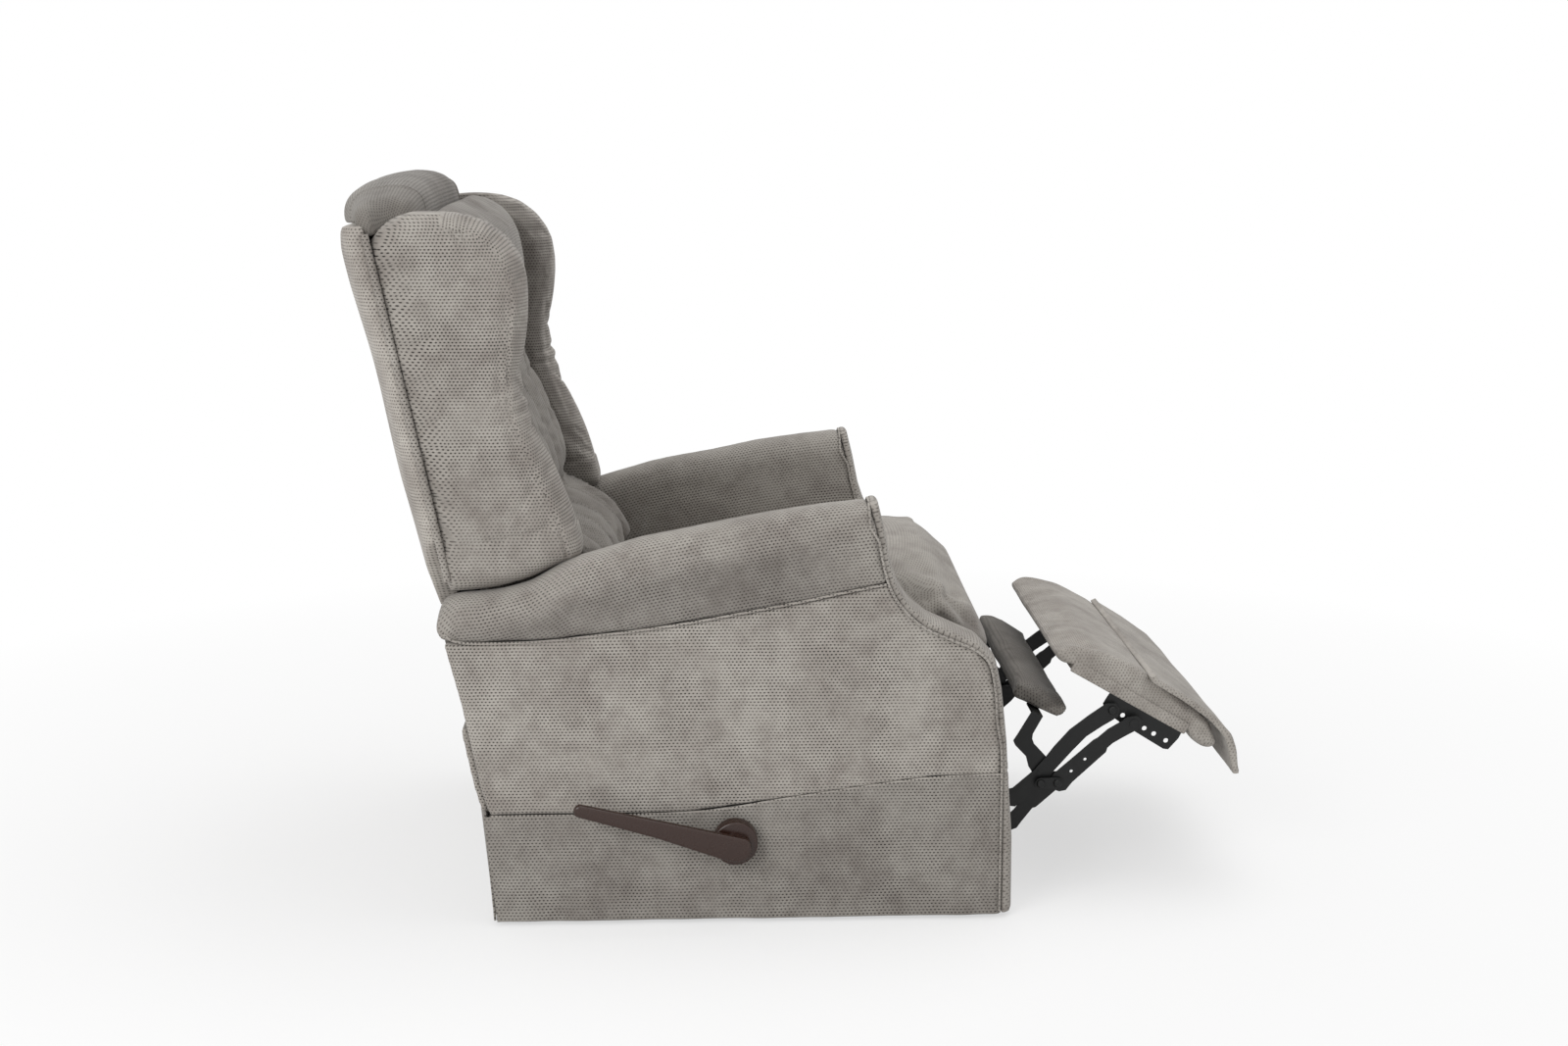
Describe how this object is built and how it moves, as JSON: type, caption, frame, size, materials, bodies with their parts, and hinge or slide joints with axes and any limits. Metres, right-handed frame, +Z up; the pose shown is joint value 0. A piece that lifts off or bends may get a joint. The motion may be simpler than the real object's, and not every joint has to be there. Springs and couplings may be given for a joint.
{
  "type": "recliner",
  "caption": "Upholstered recliner with wings, scrolled arms and skirt, back that reclines, side lever and folding footrest on a steel linkage, shown opened.",
  "frame": {"origin": "centre of the bounding box at floor level, footrest out", "axes": "+X forward from the back to the footrest, +Y to the sitter's left, +Z up"},
  "size_m": [1.3478, 0.82, 1.0964],
  "materials": {
    "knit_fabric": "matte knitted pile",
    "black_steel": "satin black paint",
    "timber": "bare",
    "spring_wire": "drawn wire",
    "lever_moulding": "satin moulded",
    "glide_plastic": "matte moulded"
  },
  "bodies": {
    "base": {"arm_board_right": "timber", "arm_pad_right": "knit_fabric", "outer_panel_right": "knit_fabric", "front_facing_right": "knit_fabric", "side_skirt_right": "knit_fabric", "arm_board_left": "timber", "arm_pad_left": "knit_fabric", "outer_panel_left": "knit_fabric", "front_facing_left": "knit_fabric", "side_skirt_left": "knit_fabric", "rear_apron": "knit_fabric", "rear_skirt": "knit_fabric", "glide_front_right": "glide_plastic", "glide_rear_right": "glide_plastic", "glide_front_left": "glide_plastic", "glide_rear_left": "glide_plastic", "base_rail_right": "black_steel", "base_rail_left": "black_steel", "cross_tube_front": "black_steel", "cross_tube_rear": "black_steel"},
    "lever": {"lever": "lever_moulding", "lever_shaft": "black_steel"},
    "seat": {"seat_plate_right": "black_steel", "seat_plate_left": "black_steel", "seat_rail_right": "timber", "seat_rail_left": "timber", "seat_rail_front": "timber", "seat_rail_rear": "timber", "seat_spring_1": "spring_wire", "seat_spring_2": "spring_wire", "seat_spring_3": "spring_wire", "seat_cushion": "knit_fabric"},
    "back": {"back_post_right": "timber", "back_post_left": "timber", "back_rail_top": "timber", "back_rail_bottom": "timber", "back_bracket_right": "black_steel", "back_bracket_left": "black_steel", "outside_back": "knit_fabric", "wing_right": "knit_fabric", "wing_left": "knit_fabric", "crown_roll": "knit_fabric", "head_pillow": "knit_fabric", "back_cushion": "knit_fabric"},
    "knee_links": {"knee_link_right": "black_steel", "knee_link_left": "black_steel"},
    "rear_links": {"rear_link_right": "black_steel", "rear_link_left": "black_steel"},
    "upper_links": {"upper_link_right": "black_steel", "upper_link_left": "black_steel"},
    "lower_links": {"lower_link_right": "black_steel", "lower_link_left": "black_steel"},
    "middle_pad": {"middle_strap_right": "black_steel", "middle_strap_left": "black_steel", "middle_pad": "knit_fabric"},
    "footrest": {"footrest_bracket_right": "black_steel", "footrest_bracket_left": "black_steel", "footrest_board": "timber", "footrest_pad": "knit_fabric", "front_flap": "knit_fabric"}
  },
  "joints": [
    {"name": "seat_slide", "type": "slide", "parent": "base", "child": "seat", "axis": [0.9613, 0, 0.2756], "range_m": [0, 0.04]},
    {"name": "back_recline", "type": "hinge", "parent": "seat", "child": "back", "pos_m": [-0.49526, 0.022, 0.44], "axis": [0, -1, 0], "range_deg": [0, 26]},
    {"name": "footrest_fold", "type": "hinge", "parent": "seat", "child": "knee_links", "pos_m": [0.26274, 0.022, 0.079], "axis": [0, -1, 0], "range_deg": [0, 109]},
    {"name": "rear_link_pivot", "type": "hinge", "parent": "seat", "child": "rear_links", "pos_m": [0.20074, 0.022, 0.055], "axis": [0, -1, 0], "range_deg": [0, 107]},
    {"name": "knee_pivot", "type": "hinge", "parent": "knee_links", "child": "upper_links", "pos_m": [0.38024, 0.022, 0.173], "axis": [0, -1, 0], "range_deg": [-128.01, 0]},
    {"name": "lower_link_pivot", "type": "hinge", "parent": "knee_links", "child": "lower_links", "pos_m": [0.40624, 0.022, 0.1737], "axis": [0, -1, 0], "range_deg": [-149, 0]},
    {"name": "footrest_tilt", "type": "hinge", "parent": "upper_links", "child": "footrest", "pos_m": [0.48974, 0.022, 0.286], "axis": [0, -1, 0], "range_deg": [-43, 0]},
    {"name": "middle_pad_tilt", "type": "hinge", "parent": "upper_links", "child": "middle_pad", "pos_m": [0.37974, 0.022, 0.188], "axis": [0, -1, 0], "range_deg": [-81, 0]},
    {"name": "lever_turn", "type": "hinge", "parent": "base", "child": "lever", "pos_m": [-0.09126, 0.022, 0.132], "axis": [0, -1, 0], "range_deg": [-95.01, 0]}
  ],
  "couplings": [
    {"joint": "seat_slide", "follows": "back_recline", "m_per_rad": 0.088147},
    {"joint": "rear_link_pivot", "follows": "footrest_fold", "ratio": 0.98165},
    {"joint": "knee_pivot", "follows": "footrest_fold", "ratio": -1.1743},
    {"joint": "lower_link_pivot", "follows": "footrest_fold", "ratio": -1.367},
    {"joint": "footrest_tilt", "follows": "footrest_fold", "ratio": -0.39449},
    {"joint": "middle_pad_tilt", "follows": "footrest_fold", "ratio": -0.74312},
    {"joint": "lever_turn", "follows": "footrest_fold", "ratio": -0.87156}
  ]
}
